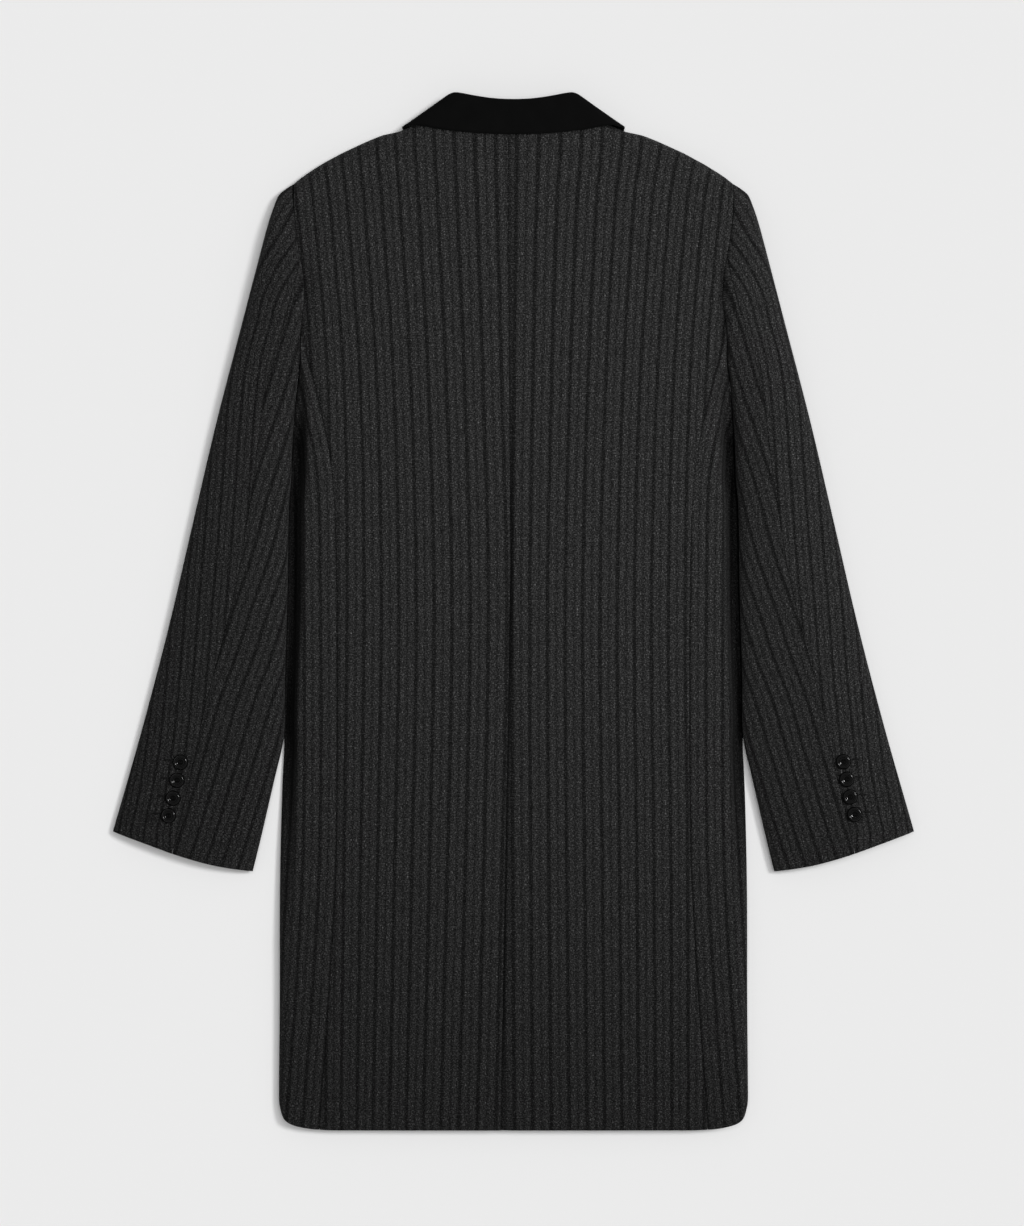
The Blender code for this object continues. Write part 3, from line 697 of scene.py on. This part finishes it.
def sleeve_piece(side, word, upper_piece):
    """The top or the under sleeve, from the back seam round its fold to the hidden seam."""
    lower_step = 0.06 if upper_piece else 0.15
    shares = (seam_shares(0.06), steps(0, 1, lower_step))
    split = len(shares[0]) + len(QUARTER) - 2
    sign = 1 if upper_piece else -1
    rows = []
    fix = None
    places = steps(0, 0.06, 0.005) + steps(0.069, 0.985, 0.0092) + [0.99, 0.994, 0.9965, 0.9985, 1]
    for share in places:
        outer, seam, inner, front = sleeve_lines(share)
        at_seam, at_outer, at_inner = sleeve_tops(share, seam, inner, outer)
        start = (seam[0] + sign * SEAM_GAP, seam[1])
        end = (front[0] + sign * SEAM_GAP, front[1])
        narrow = mix(FOLD, SLEEVE_FOLD, min(1.0, share / 0.2))
        width = FOLD if upper_piece else narrow
        edge, top = (outer, at_outer) if upper_piece else (inner, at_inner)
        row = folded_row(start, edge, end, shares, (width, width), (at_seam, top))
        if fix is None:
            fix = armhole_corrections(row, split, 1)
            fix[0] = 0.0 if upper_piece else fix[0]
        rows.append(bowed(bend(row, fix, fade(share, 0.15)), share))
    last = len(rows) - 1

    def sink(r, c, near):
        to_cuff = math.dist(rows[last][c], rows[r][c])
        to_armhole = math.dist(rows[0][c], rows[r][c])
        return pressed(near) + turned_in(to_cuff) + pressed(to_armhole)

    def grain(half, down):
        line, spacing = top_grain(down) if upper_piece else under_grain(down)
        return (half - line) / spacing

    name = f"top_sleeve_{word}" if upper_piece else f"under_sleeve_{word}"
    placed, weave, stripe = dress(rows, side, split, grain, sink, SLEEVE_ROUNDNESS)
    # The sleeve's painted shade, even over the whole piece
    nap_and_painted_shade = [[SLEEVE_PAINTED_SHADE[side][0 if upper_piece else 1]] * len(rows[0])] * len(rows)
    cloth_piece(name, placed, weave, stripe, side * sign, painted_shade=nap_and_painted_shade)
    return placed


def refined(grid, rows_by, columns_by):
    """A smooth surface through a coarse grid of points, with more rows and columns."""
    def along(lines, count):
        at_key = [0.0]
        for i in range(1, len(lines[0])):
            apart = sum((line[i] - line[i - 1]).length for line in lines) / len(lines)
            at_key.append(at_key[-1] + apart)
        wanted = []
        for k0, k1 in zip(at_key, at_key[1:]):
            wanted += [k0 + (k1 - k0) * i / count for i in range(count)]
        wanted.append(at_key[-1])
        out = []
        for line in lines:
            through = curve([(k, *point) for k, point in zip(at_key, line)])
            out.append([Vector(through(k)) for k in wanted])
        return out

    finer = along(grid, columns_by)
    turned = [list(line) for line in zip(*finer)]
    return [list(line) for line in zip(*along(turned, rows_by))]


def front_rows(side):
    """The hidden front, outer side down."""
    start_down = SHOULDER_DOWN + FOLD + TURNING + SEAM
    side_tops = [235, 250, 275, 305, 345, 395, 450, 520, 603, 680, 760, 840, 910, 970, 1010, 1037]
    first = [(half, shoulder(half) + FOLD + TURNING + SEAM) for half in FRONT_HALVES]
    shares = [(half - NECK_HALF) / (SHOULDER_HALF - NECK_HALF) for half in FRONT_HALVES]
    rows = []
    for outer_down in [start_down, 125, 145, 170, 195, 215] + side_tops:
        slanted = max(0.0, 1 - (outer_down - start_down) / FRONT_SLANT_END)
        inner_down = outer_down - FRONT_SLANT * slanted
        inner = (front_edge(inner_down), inner_down)
        line = armhole_front if outer_down < SIDE_TOP_FRONT else side_front_seam
        outer = (line(outer_down) - SEAM_GAP, outer_down)
        turned = fade(outer_down - start_down, SHOULDER_BOW_END)
        row = []
        for share, top in zip(shares, first):
            half, down = mix_points(inner, outer, share)
            chord = mix_points(first[0], first[-1], share)
            half += (top[0] - chord[0]) * turned
            down += (top[1] - chord[1]) * turned
            row.append(place(side, (half, down, under_rise(half, down, side))))
        rows.append(row)
    return rows


FRONT_HALVES = (88, 111, 129, 150, 170, 190, 206, 220)


def lapel_rows(side):
    """The hidden turned-back lapel, from its roll line to its edge."""
    end = LEFT_LAPEL_END if side == LEFT else RIGHT_LAPEL_END
    rows = []
    for step in range(9):
        share = step / 8
        down = mix(LAPEL_TOP, end, share)
        inner = front_edge(down)
        if side == RIGHT:
            inner = max(inner, 1.5 - front_edge(down))
        outer = lapel_edge(down)
        row = []
        for across in (0, 0.5, 1):
            slant = LAPEL_SLANT * across * fade(share, 0.3)
            row.append(place(side, (mix(inner, outer, across), down + slant, 0)))
        rows.append(row)
    return rows


PLAIN_SPACING = 18.4


def plain_piece(name, rows, side):
    """A hidden flat panel, with straight stripes down its grain."""
    weave = [[(point.x, 0.52 - point.y) for point in row] for row in rows]
    stripe = [[(x / MM / PLAIN_SPACING, down) for x, down in row] for row in weave]
    cloth_piece(name, rows, weave, stripe, side)


def collar_columns():
    """The collar's columns, from the middle of the back to one front end."""
    crown = body_height(60, 30)
    upper, lower = (crown + CLOTH + 0.9, crown + 3.4, crown - VELVET), (0.0, 0.0, 2 * FOLD_RADIUS)
    angles = {4: 60, 5: 30, 6: 0, 7: 30, 8: 60}
    columns = []
    for i, (fold, edge, seam, layer) in enumerate(COLLAR):
        turn = math.sin(math.radians(angles.get(i, 90)))
        goal = upper if layer in ("top", "over", "edge") else lower
        middle = [mix(b, t, MIDDLE) for b, t in zip(lower, upper)]
        edge_z, fold_z, stand_z = (mix(m, g, turn) for m, g in zip(middle, goal))
        along = Vector((edge[0] - fold[0], edge[1] - fold[1])).normalized()
        outward = Vector((along.y, -along.x))
        shift = outward * 2 * FOLD_RADIUS * (1 - turn)
        near = Vector(fold) + along * FOLD_RADIUS
        fall_near = Vector((*near, fold_z))
        stand_near = Vector((*(near - shift), stand_z))
        fall_edge = Vector((*edge, edge_z))
        stand_edge = Vector((*seam, stand_z))
        column = [fall_edge.lerp(fall_near, t) for t in (0, 0.33, 0.67, 1)]
        centre = (fall_near + stand_near) / 2
        arm = (fall_near - stand_near) / 2
        tip = Vector((*(-along), 0)) * FOLD_RADIUS
        for degrees in (45, 90, 135):
            angle = math.radians(degrees)
            column.append(centre + arm * math.cos(angle) + tip * math.sin(angle))
        column += [stand_near.lerp(stand_edge, t) for t in (0, 0.5, 1)]
        columns.append(column)
    return columns


def collar_piece():
    half = collar_columns()
    right = [[place(RIGHT, point) for point in column] for column in half]
    left = [[place(LEFT, point) for point in column] for column in half]
    rows = refined(left[:0:-1] + right, 5, 4)
    weave = []
    for row in rows:
        arc = 0.0
        line = []
        for i, point in enumerate(row):
            if i:
                arc += (point - row[i - 1]).length
            line.append((point.x, arc))
        weave.append(line)
    cloth_piece("collar", rows, weave, weave, RIGHT, slot="velvet", wall=COLLAR_WALL)


BUTTONS = {LEFT: ((332.9, 670.2), (336.3, 688.2), (340.3, 706.2), (344.9, 723.6)),
           RIGHT: ((329.8, 669.6), (333.2, 687.2), (336.7, 704.9), (341.2, 722.3))}
BUTTON_PROFILE = (
    (0, 1.3), (2.4, 1.33), (3.4, 1.45), (3.9, 1.75), (4.3, 2.35), (4.7, 2.85), (5.2, 3.15), (5.7, 3.2),
    (6.2, 2.95), (6.6, 2.5), (7.1, 1.85), (7.6, 1.15), (7.8, 0.75), (7.4, 0.35), (6.4, 0.15), (0, 0.1),
)
BUTTON_SIDES = 64
BUTTON_LIFT = 0.45
HOLE_AT, HOLE_RADIUS = 1.35, 0.62


def turned_mesh(name, profile, sides):
    """A mesh turned round Z from a profile of radius and height."""
    points, faces = [], []
    rings = []
    for radius, height in profile:
        if radius == 0:
            rings.append([len(points)])
            points.append((0, 0, height * MM))
            continue
        ring = []
        for i in range(sides):
            angle = math.tau * i / sides
            ring.append(len(points))
            points.append((radius * MM * math.cos(angle), radius * MM * math.sin(angle), height * MM))
        rings.append(ring)
    for upper, lower in zip(rings, rings[1:]):
        for i in range(sides):
            j = (i + 1) % sides
            if len(upper) == 1:
                faces.append((upper[0], lower[i], lower[j]))
            elif len(lower) == 1:
                faces.append((upper[i], lower[0], upper[j]))
            else:
                faces.append((upper[i], lower[i], lower[j], upper[j]))
    return new_mesh(name, points, faces)


def button_mesh(look):
    """A four-hole button with a raised rim round a dished middle."""
    body = add_object("button_form", turned_mesh("button_form", BUTTON_PROFILE, BUTTON_SIDES))
    drill = bpy.data.meshes.new("drill")
    tool = bmesh.new()
    for i in range(4):
        angle = math.tau * (i + 0.5) / 4
        at = Vector((math.cos(angle), math.sin(angle), 0)) * HOLE_AT * MM + Vector((0, 0, 1.5 * MM))
        made = bmesh.ops.create_cone(tool, cap_ends=True, segments=20, radius1=HOLE_RADIUS * MM,
                                     radius2=HOLE_RADIUS * MM, depth=6 * MM)
        bmesh.ops.translate(tool, verts=made["verts"], vec=at)
    tool.to_mesh(drill)
    tool.free()
    drills = add_object("drills", drill)
    cut = body.modifiers.new("holes", "BOOLEAN")
    cut.object = drills
    cut.operation = "DIFFERENCE"
    cut.solver = "EXACT"
    bpy.context.view_layer.update()
    mesh = bpy.data.meshes.new_from_object(body.evaluated_get(bpy.context.evaluated_depsgraph_get()))
    mesh.name = "cuff_button"
    mesh.materials.clear()
    mesh.materials.append(look)
    mesh.shade_smooth()
    mesh.set_sharp_from_angle(angle=math.radians(50))
    bpy.data.objects.remove(body)
    bpy.data.objects.remove(drills)
    return mesh


def tube(points, radius, sides=10):
    """Mesh data of a closed round thread through the points."""
    mesh_points, faces = [], []
    count = len(points)
    for i, point in enumerate(points):
        before, after = points[max(i - 1, 0)], points[min(i + 1, count - 1)]
        turn = (after - before).to_track_quat("Z", "Y")
        end = 0.35 if i in (0, count - 1) else 1.0
        for k in range(sides):
            angle = math.tau * k / sides
            spoke = Vector((math.cos(angle), math.sin(angle), 0)) * radius * end
            mesh_points.append(point + turn @ spoke)
    for i in range(count - 1):
        for k in range(sides):
            a, b = i * sides + k, i * sides + (k + 1) % sides
            faces.append((a, b, b + sides, a + sides))
    faces.append(tuple(range(sides))[::-1])
    faces.append(tuple(range((count - 1) * sides, count * sides)))
    return mesh_points, faces


def thread_piece(name, strands, radius, look):
    points, faces = [], []
    for strand in strands:
        more, quads = tube(strand, radius)
        faces += [tuple(i + len(points) for i in quad) for quad in quads]
        points += more
    made = add_object(name, new_mesh(name, points, faces, look))
    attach(made, "root")
    return made


# Where a button's worked hole shows, outwards from the button's centre and above it
BUTTONHOLE, BUTTONHOLE_ABOVE = (9.0, 16.5), 2.4
BUTTONHOLE_RADIUS, BUTTONHOLE_RISE = 0.85, 0.35

# Two strands of thread on each side of a button's middle, from hole to hole and down into both
HOLE_REACH = HOLE_AT * math.cos(math.pi / 4)
THREAD_RADIUS = 0.2
THREAD_STRANDS = [[(HOLE_REACH * t / 6 * 1.06, y, 1.62 - 0.9 * max(0, abs(t) - 4)) for t in range(-6, 7)]
                  for y in (-HOLE_REACH - 0.22, -HOLE_REACH + 0.22, HOLE_REACH - 0.22, HOLE_REACH + 0.22)]


def cuff_trim(side, word, placed, yarn, form):
    """Buttons with their thread, and the worked buttonholes beside them."""
    across = len(placed[0])
    corners = [r * across + c for r in range(len(placed) - 1) for c in range(across - 1)]
    quads = [(a, a + across, a + across + 1, a + 1) for a in corners]
    tree = BVHTree.FromPolygons(list(chain(*placed)), quads)

    def seat_at(half, down):
        at, normal, _, _ = tree.ray_cast(place(side, (half, down, 100)), Vector((0, 0, -1)))
        return at, normal if normal.z > 0 else -normal

    made = []
    holes = []
    for number, (half, down) in enumerate(BUTTONS[side], 1):
        seat, normal = seat_at(half, down)
        turn = normal.to_track_quat("Z", "Y")
        lift = seat + normal * BUTTON_LIFT * MM
        item = add_object(f"button_{word}_{number}", form)
        item.rotation_mode = "QUATERNION"
        item.rotation_quaternion = turn
        item.location = lift
        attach(item, "root")
        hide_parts(f"cuff_button_{word}_{number}")
        strands = [[lift + turn @ (Vector(point) * MM) for point in strand]
                   for strand in THREAD_STRANDS]
        made.append(thread_piece(f"thread_{word}_{number}", strands, THREAD_RADIUS * MM, yarn))
        seats = [seat_at(half + out, down - BUTTONHOLE_ABOVE) for out in steps(*BUTTONHOLE, 0.9375)]
        holes.append([at + up * BUTTONHOLE_RISE * MM for at, up in seats])
    made.append(thread_piece(f"buttonholes_{word}", holes, BUTTONHOLE_RADIUS * MM, yarn))
    return made


def nodes_of(name):
    made = looks[name] = bpy.data.materials.new(name)
    made.use_nodes = True
    return made.node_tree, made.node_tree.nodes["Principled BSDF"]


def add(tree, kind, **values):
    node = tree.nodes.new(kind)
    for key, value in values.items():
        setattr(node, key, value)
    return node


def set_inputs(node, values):
    for name, value in values.items():
        node.inputs[name].default_value = value


def uv_map(tree, name):
    return add(tree, "ShaderNodeUVMap", uv_map=name).outputs[0]


def parts_of(tree, vector):
    node = add(tree, "ShaderNodeSeparateXYZ")
    tree.links.new(vector, node.inputs[0])
    return node.outputs


def maths(tree, operation, *values):
    node = add(tree, "ShaderNodeMath", operation=operation)
    for i, value in enumerate(values):
        if isinstance(value, (int, float)):
            node.inputs[i].default_value = value
        else:
            tree.links.new(value, node.inputs[i])
    return node.outputs[0]


def times(tree, first, *others):
    for other in others:
        first = maths(tree, "MULTIPLY", first, other)
    return first


def ramp(tree, factor, stops):
    node = add(tree, "ShaderNodeValToRGB")
    tree.links.new(factor, node.inputs[0])
    points = node.color_ramp.elements
    while len(points) < len(stops):
        points.new(0.5)
    for element, (position, value) in zip(points, stops):
        element.position = position
        element.color = (value, value, value, 1)
    return node.outputs[0]


def noise(tree, vector, across, down, detail=2.0, rough=0.5):
    """Noise with so many cells a metre across the cloth and down it."""
    stretch = add(tree, "ShaderNodeMapping")
    stretch.inputs["Scale"].default_value = (across, down, 1)
    tree.links.new(vector, stretch.inputs["Vector"])
    node = add(tree, "ShaderNodeTexNoise")
    set_inputs(node, {"Scale": 1.0, "Detail": detail, "Roughness": rough})
    tree.links.new(stretch.outputs[0], node.inputs["Vector"])
    return node.outputs["Fac"]


# Tone across one stripe repeat, from a dark line to the next: share, brightness
STRIPE_TONES = (
    (0.0, 0.45), (0.075, 0.48), (0.12, 0.95), (0.25, 1.16), (0.4, 1.02), (0.46, 0.72), (0.54, 0.72),
    (0.6, 1.02), (0.75, 1.16), (0.88, 0.95), (0.925, 0.48), (1.0, 0.45),
)
STRIPE_WANDER = 0.06  # how far a dark line strays, in stripes
TWILL, TWILL_SHARE = 0.00105, 0.12  # the twill's ribs: spacing in metres, strength
CLOTH_TONE = 0.0198
PAINTED_SHADE_TONE = 0.25  # share of the tone left where the painted shade is full


def coating_look():
    tree, shader = nodes_of("coating")
    weave = uv_map(tree, "Weave")
    wander = maths(tree, "SUBTRACT", noise(tree, weave, 140, 30, 1.0), 0.5)
    shifted = maths(tree, "ADD", parts_of(tree, uv_map(tree, "Stripes"))[0],
                    times(tree, wander, STRIPE_WANDER))
    tone = ramp(tree, maths(tree, "FRACT", shifted), STRIPE_TONES)
    specks = ramp(tree, noise(tree, weave, 760, 760, 2.0, 0.6),
                  ((0.25, 0.2), (0.4, 0.5), (0.51, 0.97), (0.61, 2.0), (0.74, 4.4)))
    flecks = ramp(tree, noise(tree, weave, 620, 380, 1.0),
                  ((0.25, 0.6), (0.5, 0.95), (0.62, 1.35), (0.75, 2.2)))
    streaks = ramp(tree, noise(tree, weave, 700, 45),
                   ((0.0, 0.7), (0.35, 0.84), (0.6, 1.1), (1.0, 1.3)))
    patches = ramp(tree, noise(tree, weave, 260, 90), ((0.3, 0.82), (0.7, 1.2)))
    x, down, _ = parts_of(tree, weave)
    twill = maths(tree, "SINE", times(tree, maths(tree, "SUBTRACT", x, down), math.tau / TWILL))
    ribs = maths(tree, "ADD", times(tree, twill, TWILL_SHARE), 1.0)
    # Painted shade: the cloth is darker where the map of painted shade is high
    painted_shade = ramp(tree, parts_of(tree, uv_map(tree, "PaintedShade"))[0], ((0.0, 1.0), (1.0, PAINTED_SHADE_TONE)))
    level = times(tree, tone, specks, streaks, patches, flecks, ribs, painted_shade, CLOTH_TONE)
    tree.links.new(level, shader.inputs["Base Color"])
    set_inputs(shader, {"Roughness": 0.95, "Specular IOR Level": 0.08, "Sheen Weight": 0.03,
                        "Sheen Roughness": 0.5})
    bump = add(tree, "ShaderNodeBump")
    set_inputs(bump, {"Strength": 0.25, "Distance": 0.0004})
    tree.links.new(specks, bump.inputs["Height"])
    tree.links.new(bump.outputs[0], shader.inputs["Normal"])


def velvet_look():
    tree, shader = nodes_of("velvet")
    # The velvet's nap, its own tone uneven at random
    nap_and_painted_shade = noise(tree, uv_map(tree, "Weave"), 60, 40, 3.0)
    level = ramp(tree, nap_and_painted_shade, ((0.0, 0.003), (1.0, 0.0048)))
    tree.links.new(level, shader.inputs["Base Color"])
    set_inputs(shader, {"Roughness": 1.0, "Specular IOR Level": 0.02, "Sheen Weight": 0.06,
                        "Sheen Roughness": 0.3})


def plain_look(name, level, roughness, specular):
    _, shader = nodes_of(name)
    set_inputs(shader, {"Base Color": (level, level, level, 1), "Roughness": roughness,
                        "Specular IOR Level": specular})
    return looks[name]


# Camera: straight above the coat, at the distance at which one pixel is one millimetre
CAMERA_AT = (-0.0015, -0.0015)
CAMERA_HEIGHT = 4.0
TOP_LEVEL = 0.018
IMAGE_LONG_SIDE = 1.226
SENSOR = 36.0

FLOOR_REACH, FLOOR_Z = 40.0, -0.0004
POOL_AT, POOL_AIM = (0.62, 0.4, 2.0), (0.2, 0.26, 0.0)
POOL_HALF_DEGREES, POOL_WATTS = 25.0, 100.0
# Brightness of the studio round the coat by height of the direction, level to straight up
STUDIO = ((0.0, 0.16), (0.2, 0.27), (0.7, 0.27), (0.85, 0.04), (1.0, 0.04))
CLOTH_LIGHT, FLOOR_LIGHT = "pool", "floor_wash"


def share_out_the_light():
    """The pool of light is for the coat alone, and the wash keeps the floor evenly pale."""
    for name, on_floor in ((CLOTH_LIGHT, False), (FLOOR_LIGHT, True)):
        lit = bpy.data.collections.new(f"lit_by_{name}")
        for item in bpy.context.scene.objects:
            if item.type == "MESH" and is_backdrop(item) == on_floor:
                lit.objects.link(item)
        bpy.data.objects[name].light_linking.receiver_collection = lit


def sun(name, energy, spread, tilt, turn):
    data = bpy.data.lights.new(name, "SUN")
    data.energy = energy
    data.angle = math.radians(spread)
    add_object(name, data).rotation_euler = (math.radians(tilt), 0, math.radians(turn))


def camera_and_light():
    data = bpy.data.cameras.new("camera")
    data.sensor_width = SENSOR
    data.lens = SENSOR * (CAMERA_HEIGHT - TOP_LEVEL) / IMAGE_LONG_SIDE
    camera = add_object("camera", data)
    camera.location = (*CAMERA_AT, CAMERA_HEIGHT)
    bpy.context.scene.camera = camera
    sun("key", 1.5, 15, 40, 112)
    sun(FLOOR_LIGHT, 1.58, 50, 8, 125)
    pool = bpy.data.lights.new(CLOTH_LIGHT, "SPOT")
    pool.spot_size = math.radians(2 * POOL_HALF_DEGREES)
    pool.spot_blend = 1.0
    pool.shadow_soft_size = 0.2
    pool.energy = POOL_WATTS
    lamp = add_object(CLOTH_LIGHT, pool)
    lamp.visible_glossy = False
    lamp.location = POOL_AT
    aim = Vector(POOL_AIM) - Vector(POOL_AT)
    lamp.rotation_mode = "QUATERNION"
    lamp.rotation_quaternion = aim.to_track_quat("-Z", "Y")
    world = bpy.data.worlds.new("studio")
    bpy.context.scene.world = world
    world.use_nodes = True
    tree = world.node_tree
    direction = add(tree, "ShaderNodeTexCoord").outputs["Generated"]
    brightness = ramp(tree, parts_of(tree, direction)[2], STUDIO)
    tree.links.new(brightness, tree.nodes["Background"].inputs[0])
    corners = [(x * FLOOR_REACH, y * FLOOR_REACH, FLOOR_Z) for x, y in
               ((-1, -1), (1, -1), (1, 1), (-1, 1))]
    look = plain_look("floor", 0.8, 1.0, 0.0)
    add_object("floor", new_mesh("floor", corners, [(0, 1, 2, 3)], look))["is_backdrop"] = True
    bpy.context.scene.view_settings.view_transform = "Standard"


def main():
    camera_and_light()
    coating_look()
    velvet_look()
    yarn = plain_look("thread", 0.006, 0.8, 0.2)
    form = button_mesh(plain_look("button", 0.003, 0.1, 0.5))
    for side, word in ((LEFT, "left"), (RIGHT, "right")):
        back_piece(side, word)
        side_piece(side, word)
        rows = refined(front_rows(side), 4, 3)
        rows = [[Vector((p.x, p.y, max(p.z, 0.0))) for p in row] for row in rows]
        plain_piece(f"front_{word}", rows, -side)
        plain_piece(f"lapel_{word}", refined(lapel_rows(side), 4, 4), -side)
        placed = sleeve_piece(side, word, True)
        cuff_trim(side, word, placed, yarn, form)
        sleeve_piece(side, word, False)
    collar_piece()
    share_out_the_light()


main()
